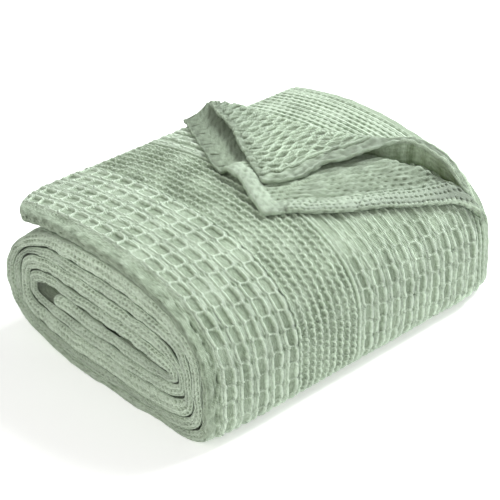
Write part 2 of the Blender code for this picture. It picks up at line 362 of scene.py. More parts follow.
def wavering(u, across):
    """Distance along the turn, pulled about by a millimetre or so, differently across the fold."""
    return u + 1.2 * waves(u, 9 * across, 23.0, 1.0)


def streaks(u, across):
    """Soft streaks along the turn, about three times as long as they are wide."""
    return waves(0.35 * u, across, 5.5, 6.0)


# The strip's folded ends: the fold's exponent and depth on the turns inside, then on the outermost
# turn, which gives way to them between these places.
STRIP_THICKNESS = 12.0
FOLD_ROUNDNESS = (3.3, 2.3)
FOLD_DEPTH = (3.4, 8.6)
OUTERMOST_UNTIL = (0.8, 1.6)
# On the outermost turn the fold's inner side stands in less, by this share.
FLATTER_INSIDE = 0.65
# Rows of small dimples along a folded end, and the height that stands for their full depth.
END_CELL_PITCH = 4.8
END_ROW_PITCH = 5.2
END_SLANT = 0.3
END_CELL_DEPTH = 2.2
# The part of a folded end that faces forward enough to show its dimples.
FACING = (0.45, 0.85)


def end_weave(u, across, forward, outer):
    """Height of the weave on a folded end: rows of dimples along it, worn away here and there.

    On the outermost turn the dimples are longer and fainter, and soft streaks run between them.
    """
    along = wavering(u, across) + END_SLANT * across
    fine = dashes(along, across, END_CELL_PITCH, END_ROW_PITCH, 0.8, 1.0)
    faint = 0.25 * dashes(along, across, 1.7 * END_CELL_PITCH, END_ROW_PITCH, 0.7, 0.8)
    holes = (fine * (1 - outer) + faint * outer) ** 0.5
    worn = 0.6 + 0.6 * waves(u, 14 * across, 41.0, 5.0) + 0.5 * waves(along, 5 * across, 9.0, 2.0)
    pits = 1.9 * holes * np.clip(worn, 0.05, 1.1) * smooth_step(forward, *FACING)
    return 1 - pits + 0.4 * outer * (streaks(u, across) - 0.2)


def folded_end(u, q, points, detailed):
    """A folded end of the strip: how far each point stands in, its depth, its height, and how far
    it faces forward.

    Across the strip's thickness the fold is a superellipse, rounder and deeper on the outermost
    turn, with its points closer together towards the faces. It stands in unevenly along the turn.
    """
    u = u[:, None]
    outer = 1 - smooth_step(q, *OUTERMOST_UNTIL)[:, None]
    t = np.broadcast_to(np.linspace(1, -1, points), (len(u), points))
    aside = np.sign(t) * (1 - (1 - np.abs(t)) ** 1.6)
    power = mixed(*FOLD_ROUNDNESS, outer)
    forward = (1 - np.abs(aside) ** power) ** (1 / power)
    uneven = 1.1 * (1.2 + waves(u, 0, 62.0, 3.0)) * (1 - 0.6 * outer) + 0.5 * (1 + waves(u, 0, 17.0, 6.0))
    depth_in = mixed(*FOLD_DEPTH, outer) * np.where(aside < 0, 1 - FLATTER_INSIDE * outer, 1)
    inset = depth_in * (1 - forward) + uneven
    across = aside * STRIP_THICKNESS / 2
    height = end_weave(u, across, forward, outer) if detailed else np.ones_like(aside)
    return inset, 0.5 - 0.5 * aside, height, forward


def cell_steps(start, end, pitch, lines):
    """Distances from start to end, with lines at those shares of every cell, clear of both ends."""
    margin = 0.4
    cells = np.arange(np.floor(start / pitch), np.ceil(end / pitch) + 1)
    inner = (cells[:, None] + np.array(lines)[None, :]).ravel() * pitch
    inner = inner[(inner > start + margin) & (inner < end - margin)]
    return np.concatenate(((start,), inner, (end,)))


def both_halves(lines):
    """Lines across a cell, as shares, from those of its first half: the second half mirrors it."""
    return (*lines, *(1 - line for line in lines[::-1] if 0 < line < 0.5))


# Lines across one cell, round the roll and along it: close together at the ropes.
CELL_LINES = both_halves((0.0, 0.035, 0.07, 0.11, 0.16, 0.22, 0.30, 0.39, 0.5))
COLUMN_LINES = both_halves((0.0, 0.045, 0.085, 0.125, 0.165, 0.205, 0.25, 0.32, 0.41, 0.5))
# Distances from a free end to the lines on its rounded nose.
NOSE_LINES = (0.0, 0.15, 0.5, 1.0, 1.7, 2.6, 3.6, 4.8)
NOSE_REACH = 6.0
# Heights that also set the colour: cloth with no weave drawn, the outermost turn's folded edge, and
# the faces hidden between the turns, painted darkest as shade in the gaps and the hollow except near the
# core.
SMOOTH_LEVEL = 0.62
FOLD_LEVEL = 0.05
HIDDEN_SHADE_LEVEL = -0.5
CORE_LIGHTER = 0.6
INNER_FACE_LIGHTER_FROM = (13.0, 15.0)
CORD_HEIGHT = 2.8
# Lines are spaced out where the roll rests on the floor, and where its turn is under the free end.
UNDERNEATH = (1.75, 2.45)
HIDDEN_FROM = (3.55, 3.95)
SPACED_OUT = 3
# Points across a folded end: the near one shows, and the far one doesn't.
NEAR_END_POINTS = 21
FAR_END_POINTS = 7


def outer_turn_places(pitch, lines, shown_to):
    """Distances along the outermost turn: every line where it shows, fewer underneath and from shown_to."""
    start = distance_at(-1.0)
    places = cell_steps(start + NOSE_REACH, distance_at(OUTER_TURN_END), pitch, lines)
    q = place_at(places)
    unseen = ((q > UNDERNEATH[0]) & (q < UNDERNEATH[1])) | (q > shown_to)
    kept = np.arange(len(places)) % SPACED_OUT == 0
    return np.concatenate((start + np.array(NOSE_LINES), places[~unseen | kept]))


def band_grid(band, columns, column_lines, cell, cell_lines, shown_to, edge_lines=()):
    """A band's lines round the turn and along the roll, both as grids, and its columns' pitch."""
    turn_u = outer_turn_places(cell, cell_lines, shown_to)
    pitch = (band[1] - band[0]) / columns
    columns_y = band[0] + cell_steps(0.0, columns * pitch, pitch, column_lines)
    face_y = np.concatenate((edge_lines, columns_y))
    return turn_u, face_y, *np.meshgrid(turn_u, face_y, indexing="ij"), pitch


def fold_level(q):
    """Height of the folded edge: lowest on the outermost turn's top, and smooth from its side on."""
    return mixed(FOLD_LEVEL, SMOOTH_LEVEL, smooth_step(q, *OUTERMOST_UNTIL))


def wound_piece(name, u, face_y, face_relief, hidden_y, folds, noses, material):
    """A stretch of the wound strip as a closed skin.

    u is each ring's distance along the winding. A ring runs along the outer face at face_y, and back
    along the hidden inner face. folds says whether its near and far side are folded ends of the
    strip, and noses whether its first and last ring round off a free end.
    """
    q = place_at(u)
    count = len(u)
    face = np.zeros((count, len(face_y)))
    sides = [(face + face_y, face, face_relief, face)]
    for side, folded in zip((-1, 1), folds):
        if not folded:
            continue
        near = side < 0
        inset, depth, height, forward = folded_end(u, q, NEAR_END_POINTS if near else FAR_END_POINTS, near)
        relief = fold_level(q)[:, None] - (1 - height) * SMOOTH_LEVEL
        fold = (side * (HALF_LENGTH - inset), depth, relief, forward)
        if near:
            sides.insert(0, tuple(values[:, ::-1] for values in fold))
        else:
            sides.append(fold)
    hidden = np.zeros((count, len(hidden_y)))
    # The hidden inner face takes painted shade, which is lighter near the core.
    hidden_shade = HIDDEN_SHADE_LEVEL + CORE_LIGHTER * smooth_step(q, *INNER_FACE_LIGHTER_FROM)[:, None]
    sides.append((hidden + hidden_y, hidden + 1, hidden + hidden_shade, hidden))
    y, depth, relief, forward = (np.concatenate(parts, axis=1) for parts in zip(*sides))
    lift = (relief - 0.5) * CORD_HEIGHT * np.clip(1 - 2 * depth, 0, 1) * (1 - forward)
    y = y + np.sign(y) * forward * (relief - SMOOTH_LEVEL) * END_CELL_DEPTH
    for ending, length in zip(noses, (u - u[0], u[-1] - u)):
        if ending:
            depth, lift = nose(depth, lift, length, NOSE_REACH)
    points = strip_grid(np.broadcast_to(q[:, None], y.shape), y, depth, lift)
    middle = count // 2
    steps = np.abs(np.diff(y[middle])) + STRIP_THICKNESS * np.abs(np.diff(depth[middle]))
    across = np.concatenate(((0.0,), np.cumsum(steps)))
    return ring_mesh(name, points, across, u[:, None], relief, material)


# Woven cotton, dyed sage green: matte, with a soft sheen of loose fibre. Its colour follows the height,
# with light and shade painted in: the ropes stand in the light and take a painted highlight, the thin
# floors are darker with some painted shade, and the deepest dimples take olive painted shade.
RIDGE_COLOUR = "e0f1dc"
FLOOR_COLOUR = "a4b69c"
DEEP_SHADE_COLOUR = "4a5a40"
# Where the cloth is a single thickness, a little light comes through it, warmer than the dye.
GLOW_COLOUR = "d9e9a2"
# The real yarns lie about 0.5 mm apart and their fibres are finer still. Neither would show, so both
# are drawn at three times the yarns' spacing.
YARN_PITCH = 1.5
FIBRE_PITCH = 1.5
YARN_DEPTH = 0.45
# Fibres lie along the turn, so their pattern is stretched that way.
FIBRE_STRETCH = (0.35, 1.0, 1.0)
# How much the fibre adds to the height that sets the colour, and to the bump beside the yarns.
FIBRE_IN_COLOUR = 1.5
FIBRE_IN_BUMP = 3.0
# Heights, fibre and all, that take the deepest and the palest colour.
COLOUR_RANGE = (-0.25, 1.75)
# The dye is uneven over a few centimetres, between these shares of its brightness, as the noise
# goes through its usual range.
DYE_PATCH = 28.0
DYE_RANGE = (0.92, 1.06)
NOISE_RANGE = (0.3, 0.7)
# A wave texture has this many bands to a unit of length.
WAVE_BANDS = 3.18


def linear(hex_colour):
    """sRGB hex to linear RGB with alpha 1."""
    values = np.array([int(hex_colour[i : i + 2], 16) for i in (0, 2, 4)]) / 255
    curved = np.where(values <= 0.04045, values / 12.92, ((values + 0.055) / 1.055) ** 2.4)
    return (*curved.tolist(), 1.0)


def add_node(tree, kind, settings=None, **links):
    """A node with its settings. links names inputs, or numbers them as _0; a socket is linked to its
    input, and anything else is its value.
    """
    node = tree.nodes.new(kind)
    for name, value in (settings or {}).items():
        setattr(node, name, value)
    for name, value in links.items():
        number = name[1:]
        socket = node.inputs[int(number) if number.isdigit() else name.replace("_", " ")]
        if isinstance(value, bpy.types.NodeSocket):
            tree.links.new(value, socket)
        else:
            socket.default_value = value
    return node


def woven_cotton(name, ridge, floor, deep, glow=0.0):
    """Matte woven cotton: colour from the relief, with a painted highlight on the ropes and painted shade
    in the floors and dimples, uneven dye, and bump from two sets of yarns.

    Both patterns follow the cloth's own UV map. glow is the share of light that comes through.
    """
    material = bpy.data.materials.new(name)
    material.use_nodes = True
    tree = material.node_tree
    shader = tree.nodes["Principled BSDF"]
    relief = add_node(tree, "ShaderNodeAttribute", {"attribute_name": "relief"})
    cloth = add_node(tree, "ShaderNodeUVMap", {"uv_map": "cloth"}).outputs["UV"]
    dye = add_node(tree, "ShaderNodeTexNoise", Vector=cloth, Scale=1 / (DYE_PATCH * MM), Detail=3.0)
    stretched = add_node(
        tree, "ShaderNodeVectorMath", {"operation": "MULTIPLY"}, _0=cloth, _1=FIBRE_STRETCH
    )
    fibre = add_node(
        tree, "ShaderNodeTexNoise", Vector=stretched.outputs[0], Scale=1 / (FIBRE_PITCH * MM), Detail=3.0
    )
    multiply_add = {"operation": "MULTIPLY_ADD"}
    level = add_node(
        tree, "ShaderNodeMath", multiply_add,
        _0=fibre.outputs["Fac"], _1=FIBRE_IN_COLOUR, _2=relief.outputs["Fac"],
    )
    share = add_node(
        tree, "ShaderNodeMapRange",
        Value=level.outputs[0], From_Min=COLOUR_RANGE[0], From_Max=COLOUR_RANGE[1],
    )
    colour = add_node(tree, "ShaderNodeValToRGB", Fac=share.outputs[0])
    stops = colour.color_ramp.elements
    stops[0].color = linear(deep)
    stops[1].color = linear(ridge)
    stops.new(0.5).color = linear(floor)
    shade = add_node(
        tree, "ShaderNodeMapRange",
        Value=dye.outputs["Fac"], From_Min=NOISE_RANGE[0], From_Max=NOISE_RANGE[1],
        To_Min=DYE_RANGE[0], To_Max=DYE_RANGE[1],
    )
    dyed = add_node(
        tree, "ShaderNodeVectorMath", {"operation": "SCALE"},
        _0=colour.outputs[0], Scale=shade.outputs[0],
    )
    tree.links.new(dyed.outputs[0], shader.inputs["Base Color"])
    yarns = []
    for direction in ("X", "Y"):
        yarn = add_node(
            tree, "ShaderNodeTexWave", {"wave_type": "BANDS", "bands_direction": direction},
            Vector=cloth, Scale=1 / (YARN_PITCH * MM) / WAVE_BANDS, Distortion=2.5, Detail=2.0,
        )
        yarns.append(yarn.outputs["Fac"])
    woven = add_node(tree, "ShaderNodeMath", {"operation": "ADD"}, _0=yarns[0], _1=yarns[1])
    rough = add_node(
        tree, "ShaderNodeMath", multiply_add,
        _0=fibre.outputs["Fac"], _1=FIBRE_IN_BUMP, _2=woven.outputs[0],
    )
    depth = YARN_DEPTH * MM
    bump = add_node(tree, "ShaderNodeBump", Height=rough.outputs[0], Strength=1.0, Distance=depth)
    tree.links.new(bump.outputs[0], shader.inputs["Normal"])
    shader.inputs["Roughness"].default_value = 0.9
    shader.inputs["Specular IOR Level"].default_value = 0.25
    shader.inputs["Sheen Weight"].default_value = 0.18
    shader.inputs["Sheen Roughness"].default_value = 0.55
    if glow:
        through = add_node(
            tree, "ShaderNodeBsdfTranslucent", Color=linear(GLOW_COLOUR), Normal=bump.outputs[0]
        )
        opaque, seen_through = shader.outputs[0], through.outputs[0]
        both = add_node(tree, "ShaderNodeMixShader", _0=glow, _1=opaque, _2=seen_through)
        tree.links.new(both.outputs[0], tree.nodes["Material Output"].inputs["Surface"])
    return material


def dress(thing):
    """The piece rides on the roll and stands for the CAD solid."""
    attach(thing, "root")
    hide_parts("blanket")


# Where the near band's columns of cells lie along y, and the lines on the folded edge before them.
NEAR_BAND = (-174.2, -82.7)
NEAR_COLUMNS = 5
NEAR_EDGE_LINES = (-180.0, -179.3, -178.6, -177.8, -177.0, -176.1, -175.2)
CELL_ALONG = 17.3
# The rows of cells slant: they lie this much further on for each millimetre towards the near end.
CELL_SLANT = 0.19


def uneven_cells(u, y):
    """Where the weave's cells lie: on slanting rows, and pulled about a little."""
    along = u - CELL_SLANT * y + 3.0 * waves(u, y, 240.0, 1.0) + 0.9 * waves(u, y, 31.0, 4.0)
    return along, y + 0.6 * waves(u, y, 27.0, 7.0)


def outer_relief(u, y, weave):
    """The weave's height, uneven from cell to cell and stronger on the roll's right side.

    It is smoothed out beside the free edge, and where the turn goes in under the free end.
    """
    strength = 0.85 + 0.16 * smooth_step(u, 110.0, 180.0) + 0.2 * waves(u, y, 47.0, 2.0)
    from_edge = u - u.min()
    shown = smooth_step(from_edge, 1, 7) * (1 - smooth_step(place_at(u), *HIDDEN_FROM))
    return mixed(SMOOTH_LEVEL, weave, strength * shown)


cotton = woven_cotton("woven_cotton", RIDGE_COLOUR, FLOOR_COLOUR, DEEP_SHADE_COLOUR)

turn_u, face_y, u, y, pitch = band_grid(
    NEAR_BAND, NEAR_COLUMNS, COLUMN_LINES, CELL_ALONG, CELL_LINES, OUTER_TURN_END, NEAR_EDGE_LINES
)
along, across = uneven_cells(u, y)
# Down the roll's side the cells get narrower and straighter, and their bars lower.
down_side = smooth_step(u, 60.0, 190.0)
weave = honeycomb(
    along, across - NEAR_BAND[0], CELL_ALONG, pitch,
    half_wide=mixed(6.2, 5.5, down_side), waist=0.28, pinch=mixed(0.35, 0.26, down_side),
    bars=mixed(0.95, 0.5, down_side), level=0.25, dimples=0.9,
)
pits = dashes(wavering(u, y), y - NEAR_BAND[0], 6.8, 3.6, 0.75, 0.8) ** 0.6
worn = np.clip(0.8 + 0.4 * waves(u, 5 * y, 29.0, 5.0), 0, 1)
edge = fold_level(place_at(u)) - 0.45 * pits * worn + 0.4 * down_side * (streaks(u, y) - 0.3)
weave = mixed(edge, weave, smooth_step(y, NEAR_BAND[0] - 1, NEAR_BAND[0] + 1))
near_band = wound_piece(
    "near_band", turn_u, face_y, outer_relief(u, y, weave), hidden_y=(NEAR_BAND[1], -130.0, -176.0),
    folds=(True, False), noses=(True, False), material=cotton,
)
dress(near_band)


# --------------------------------------
# The outermost turn, middle band: fine waffle, woven in one with the bands beside it. In each of its
# narrow columns a wavy rib runs round the roll beside two rows of short dashes between low knots.

MIDDLE_BAND = (-82.7, -4.0)
MIDDLE_COLUMNS = 9
FINE_CELL_ALONG = 8.0
# Each column's cells lie this much further on than those of the column before.
FINE_SHIFT = 3.1
FINE_LINES = (0.0, 0.11, 0.22, 0.33, 0.44, 0.56, 0.67, 0.78, 0.89)
FINE_COLUMN_LINES = (0.0, 0.08, 0.15, 0.22, 0.29, 0.37, 0.45, 0.53, 0.61, 0.69, 0.77, 0.85, 0.93)
# Where the rib and the rows of dashes lie across a column, their half-widths, and how far they
# swing aside, all as shares of the column.
RIB_AT = 0.16
RIB_HALF = 0.12
DASH_ROWS = (0.47, 0.82)
DASH_HALF = 0.18
KNOT_HALF = 0.17
SWING = 0.07
# A dash's length as a share of the cell's.
DASH_LENGTH = 0.9
# The rope along the band's far edge.
EDGE_ROPE = 1.2


def fine_waffle(along, across, pitch_along, pitch_across, holes):
    """Height of one rib and two rows of short dashes in each column.

    The rib is a rope, and a dash is a long dimple of depth holes in a low raised row. The second
    row is half a cell on from the first, and the whole column swings by a cosine, once a cell.
    """
    cell = along / pitch_along
    t = (across / pitch_across + SWING * np.cos(2 * np.pi * cell)) % 1
    rib = rope((t - RIB_AT) * pitch_across, RIB_HALF * pitch_across)
    dimples = 0
    knots = 0
    for row, half_on in zip(DASH_ROWS, (0, 0.5)):
        from_middle = (((cell + half_on) % 1) - 0.5) * 2
        dimples = np.maximum(dimples, cord(np.hypot(from_middle / DASH_LENGTH, (t - row) / DASH_HALF), 1.0))
        knots = np.maximum(knots, cord(t - row, KNOT_HALF))
    return np.maximum(rib, 0.8 * knots - 0.05 - 2.3 * holes * dimples**0.7)


turn_u, face_y, u, y, pitch = band_grid(
    MIDDLE_BAND, MIDDLE_COLUMNS, FINE_COLUMN_LINES, FINE_CELL_ALONG, FINE_LINES, HIDDEN_FROM[0]
)
column = np.floor((y - MIDDLE_BAND[0]) / pitch)
along = u + 2.0 * waves(u, y, 120.0, 4.0) + 1.1 * waves(u, y, 14.0, 2.0) + FINE_SHIFT * column
across = y - MIDDLE_BAND[0] + 0.5 * waves(u, y, 15.0, 6.0)
# The dashes are deepest beside the free edge, and the whole weave lies a little lower there, which
# also darkens its colour as painted shade.
holes = mixed(1.5, 1.0, smooth_step(u, 20.0, 110.0))
weave = fine_waffle(along, across, FINE_CELL_ALONG, pitch, holes)
weave = np.maximum(weave, rope(y - MIDDLE_BAND[1] + EDGE_ROPE, EDGE_ROPE)) - 0.7 * (holes - 1)
middle_band = wound_piece(
    "middle_band", turn_u, face_y, outer_relief(u, y, weave), hidden_y=MIDDLE_BAND[::-1],
    folds=(False, False), noses=(True, False), material=cotton,
)
dress(middle_band)


# --------------------------------------
# The outermost turn, far band: ten columns of large cells, woven like the near band's but with
# flatter bars, to the far end. Behind the turned-back corner the layer underneath lies bare, and
# there its columns show as narrow ribs with rows of dashes.

FAR_BAND = (-4.0, 179.0)
FAR_COLUMNS = 10
FAR_COLUMN_LINES = both_halves((0.0, 0.055, 0.105, 0.15, 0.19, 0.24, 0.30, 0.38, 0.46))
FAR_CELL_LINES = (0.0, 0.045, 0.09, 0.15, 0.23, 0.32, 0.41, 0.5, 0.59, 0.68, 0.77, 0.85, 0.93)
RIB_PITCH = 6.3
RIB_DASH_PITCH = 9.0
# On the shoulder the weave is calmer, by a share of its height, and lies a little lower.
CALM_SHARE = 0.35
CALM_FROM = (60.0, 100.0)
CALM_UNTIL = (150.0, 195.0)
CALM_DEPTH = 0.8

turn_u, face_y, u, y, pitch = band_grid(
    FAR_BAND, FAR_COLUMNS, FAR_COLUMN_LINES, CELL_ALONG, FAR_CELL_LINES, HIDDEN_FROM[0]
)
along, across = uneven_cells(u, y)
# The bars start to show beyond the shoulder, lower down on the roll's side.
down_side = smooth_step(u, 95.0, 180.0)
weave = honeycomb(
    along, across - FAR_BAND[0], CELL_ALONG, pitch, half_wide=5.4, waist=0.25,
    pinch=mixed(0.2, 0.28, down_side), bars=mixed(0.05, 0.5, down_side), level=0.1, dimples=0.8,
)
calm = CALM_SHARE * smooth_step(u, *CALM_FROM) * (1 - smooth_step(u, *CALM_UNTIL))
weave = SMOOTH_LEVEL - CALM_DEPTH * calm + (weave - SMOOTH_LEVEL) * (1 - calm)
rib_dashes = dashes(u + 0.9 * waves(u, y, 16.0, 2.0), y, RIB_DASH_PITCH, RIB_PITCH, 0.85, 0.6)
ribs = 0.35 - 0.3 * np.cos(2 * np.pi * y / RIB_PITCH) - 1.1 * rib_dashes**0.7
q = place_at(u)
bare = behind_crest(winding(q)[..., 0], y) * (1 - smooth_step(q, *TOP_UNTIL))
weave = mixed(weave, ribs, bare)
far_band = wound_piece(
    "far_band", turn_u, face_y, outer_relief(u, y, weave), hidden_y=(150.0, 60.0, FAR_BAND[0]),
    folds=(False, True), noses=(True, False), material=cotton,
)
dress(far_band)


# --------------------------------------
# The inner turns: the rest of the cotton strip, wound flat to the small hollow at its core. Only its
# folded ends show, one rounded edge inside the other.

INNER_STEP = 1.0
INNER_FACE = (-184.0, -182.0, -176.0, -165.0, -140.0, 0.0, 150.0, 184.0)
# Places between which the outer face goes in under the outermost turn, and gets near the core.
INNER_HIDDEN_FROM = (4.8, 5.4)
OUTER_FACE_LIGHTER_FROM = (15.0, 16.5)

turn_u = np.arange(distance_at(OUTER_TURN_END), distance_at(CORE_END) - NOSE_REACH, INNER_STEP)
turn_u = np.concatenate((turn_u, distance_at(CORE_END) - np.array(NOSE_LINES)[::-1]))
q = place_at(turn_u)
# Where it goes in under the outermost turn, the outer face takes the hidden faces' painted shade.
level = mixed(SMOOTH_LEVEL, HIDDEN_SHADE_LEVEL, smooth_step(q, *INNER_HIDDEN_FROM))
level = level + CORE_LIGHTER * smooth_step(q, *OUTER_FACE_LIGHTER_FROM)
relief = np.broadcast_to(level[:, None], (len(turn_u), len(INNER_FACE)))
inner_turns = wound_piece(
    "inner_turns", turn_u, INNER_FACE, relief, hidden_y=(184.0, 150.0, -140.0, -165.0, -186.0),
    folds=(True, True), noses=(False, True), material=cotton,
)
dress(inner_turns)


# --------------------------------------
# The lower turned-back layer: the blanket's far left corner, a single thickness of waffle cotton
# with sewn hems. It stands up along a slanting crest and lies forward over the roll's top, with a
# small kink in its left hem.

# Each row is one line from the hem to the crest: x, y and z of its end at the hem, then at the crest.
LOWER_ROWS = np.array((
    (-144, 46, 134.5, -140.5, 75.5, 145.5),
    (-100.6, 20, 141.5, -104, 76, 146),
    (-60.5, -2, 145.5, -66, 74, 147),
    (-35, -15.5, 146.6, -36, 76, 149),
    (-18, -21, 146, -20, 78, 150),
    (-13, -20, 152.5, -14, 79, 150),
    (6, -21, 150.5, 4, 84, 150),
    (34, -33, 145, 26, 92, 149),
    (58.5, -41.5, 140.5, 40, 99, 148),
    (73.6, -8.4, 136, 52, 105, 146),
    (91.4, 25.4, 130, 64, 111, 144.5),
    (104, 67, 124, 80, 120.5, 142),
    (116, 103, 117, 91, 130, 139),
    (122, 125, 112.5, 103, 137, 134),
    (128, 146, 108, 116, 145, 126.5),
    (133, 156, 103, 123, 155, 121),
    (137.5, 164.5, 98, 132, 163, 110.5),
    (141, 171, 90, 138, 171, 97),
    (143, 176, 81, 142.5, 178, 84),
))
# The row at the cloth's corner: the left hem is before it, and the right hem after it.
LOWER_CORNER = 8
LOWER_LINES = 86
LAYER_THICKNESS = 3.0
HEM_THICKNESS = 4.6
HEM_WIDTH = 17.0
HEM_EASE = 3
# Behind the crest the sheet goes down to its root, this far below the roll's top.
ROOT_DEPTH = 8.2
ROOT_BACK = 6.5
ROOT_ANGLES = np.radians(np.arange(10, 91, 10))
LAYER_STEP = 1.0
# Distances from the sheet's rim to the lines on its rounding, the last of them the rounding's reach.
RIM = (0.0, 0.15, 0.5, 1.0, 1.7, 2.6)
# Powers by which lines lie closer at the hem, and the sheet rises late before these x.
CLOSER_AT_HEM = 1.35
LATE_RISE = 2.6
LATE_RISE_UNTIL = (-50, 10)
TICK_PITCH = 26.0


def spread(rows, step):
    """The rows' values at every step along the hem, with the distances there.

    They run straight from row to row, and a bell curve a few millimetres wide rounds the corners.
    """
    hem_lengths = np.hypot(*np.diff(rows[:, :2], axis=0).T)
    crest_lengths = np.hypot(*np.diff(rows[:, 3:5], axis=0).T)
    row_places = np.concatenate(((0.0,), np.cumsum(0.7 * hem_lengths + 0.3 * crest_lengths)))
    end = row_places[-1]
    margin = 4.0
    places = np.concatenate((RIM, np.arange(margin, end - margin, step), end - np.array(RIM)[::-1]))
    samples_per_mm = 4
    bell_width = 9.0
    reach = 36
    fine = np.linspace(0, end, int(end * samples_per_mm))
    values = np.stack([np.interp(fine, row_places, column) for column in rows.T], axis=-1)
    kernel = np.exp(-0.5 * (np.arange(-reach, reach + 1) / bell_width) ** 2)
    before = 2 * values[:1] - values[reach:0:-1]
    after = 2 * values[-1:] - values[-2 : -reach - 2 : -1]
    padded = np.concatenate((before, values, after))
    smooth = np.stack([np.convolve(column, kernel / kernel.sum(), "valid") for column in padded.T], axis=-1)
    return places, np.stack([np.interp(places, fine, column) for column in smooth.T], axis=-1)


def top_face(x):
    """Height of the roll's top at x, from the winding's free end and its first quarter."""
    curve = winding(place_at(np.linspace(distance_at(-1.0), distance_at(1.0), 500)))
    return np.interp(x, curve[:, 0], curve[:, 1])


def polyline_distance(x, y, line):
    """Distance in plan from points to a line of joined straight stretches."""
    best = np.full(x.shape, np.inf)
    for (ax, ay), (bx, by) in zip(line[:-1], line[1:]):
        length = (bx - ax) ** 2 + (by - ay) ** 2
        t = np.clip(((x - ax) * (bx - ax) + (y - ay) * (by - ay)) / length, 0, 1)
        best = np.minimum(best, np.hypot(x - ax - t * (bx - ax), y - ay - t * (by - ay)))
    return best


def turned_back_layer(name, rows, corner, weave, line_count, material):
    """A closed sheet: lines run from the hem to the crest, over it and down to the root.

    A line's height over the roll goes from its hem's to its crest's with the sine of the way, or at
    the left end with a power of it, and the root is a quarter ellipse. weave gives the upper face's
    relief from the place in plan, the distances to the two hems, and the share of the way. The
    sheet is thicker at its hems, and its rim closes in a quarter circle.
    """
    along, values = spread(rows, LAYER_STEP)
    values[:, 1] += 0.5 * waves(along, 0, 13.0, 2.0)
    values[:, 2] += 0.7 * waves(along, 0, 33.0, 5.0) + 0.35 * waves(along, 0, 11.0, 7.0)
    hem_x, hem_y, hem_z, crest_x, crest_y, crest_z = (column[:, None] for column in values.T)
    hem_lift, crest_lift = hem_z - top_face(hem_x), crest_z - top_face(crest_x)
    width = np.hypot(crest_x - hem_x, crest_y - hem_y) + 0.2
    rim = np.minimum(np.array(RIM), 0.4 * width) / width
    body = rim[:, -1:] + (1 - rim[:, -1:]) * np.linspace(0, 1, line_count)[1:] ** CLOSER_AT_HEM
    step = np.concatenate((rim, body), axis=1)
    x = mixed(hem_x, crest_x, step)
    y = mixed(hem_y, crest_y, step)
    rising = mixed(step**LATE_RISE, np.sin(step * np.pi / 2), smooth_step(x, *LATE_RISE_UNTIL))
    lift = mixed(hem_lift, crest_lift, rising)
    behind, down = np.sin(ROOT_ANGLES), np.cos(ROOT_ANGLES)
    each = np.ones_like(crest_x * behind)
    x = np.concatenate((x, crest_x * each), axis=1)
    y = np.concatenate((y, crest_y + ROOT_BACK * behind), axis=1)
    lift = np.concatenate((lift, mixed(-ROOT_DEPTH, crest_lift, down)), axis=1)
    step = np.concatenate((step, (1 + 0.1 * behind) * each), axis=1)
    middle = np.stack((x, y, top_face(x) + lift), axis=-1)
    normal = np.cross(np.gradient(middle, axis=0), np.gradient(middle, axis=1))
    normal /= np.linalg.norm(normal, axis=-1, keepdims=True) + 1e-9
    left = polyline_distance(x, y, rows[: corner + 1, :2])
    right = polyline_distance(x, y, rows[corner:, :2])
    height = weave(x, y, left, right, step)
    from_rim = np.minimum(step * width, np.minimum(along - along[0], along[-1] - along)[:, None])
    closing = np.sqrt(1 - np.clip(1 - from_rim / RIM[-1], 0, 1) ** 2)
    closing[:, -1] = 0
    hemmed = 1 - smooth_step(np.minimum(left, right), HEM_WIDTH - HEM_EASE, HEM_WIDTH)
    half = mixed(LAYER_THICKNESS, HEM_THICKNESS, hemmed) / 2 * closing
    raised = (np.clip(height, 0, 1.1) - 0.5) * CORD_HEIGHT * closing
    upper = middle + (half + raised)[..., None] * normal
    under = middle - half[..., None] * normal
    ring = np.concatenate((upper, under[:, -2:0:-1]), axis=1)
    ring[..., 0] = drawn_in(ring[..., 0], ring[..., 1])
    under_height = 0.55 + 0.35 * waves(x, 2 * y, 19.0, 3.0)
    relief = np.concatenate((height, under_height[:, -2:0:-1]), axis=1)
    across = np.arange(ring.shape[1]) * width.max() / line_count
    return ring_mesh(name, ring[:, ::-1], across[::-1], along[:, None], relief[:, ::-1], material)


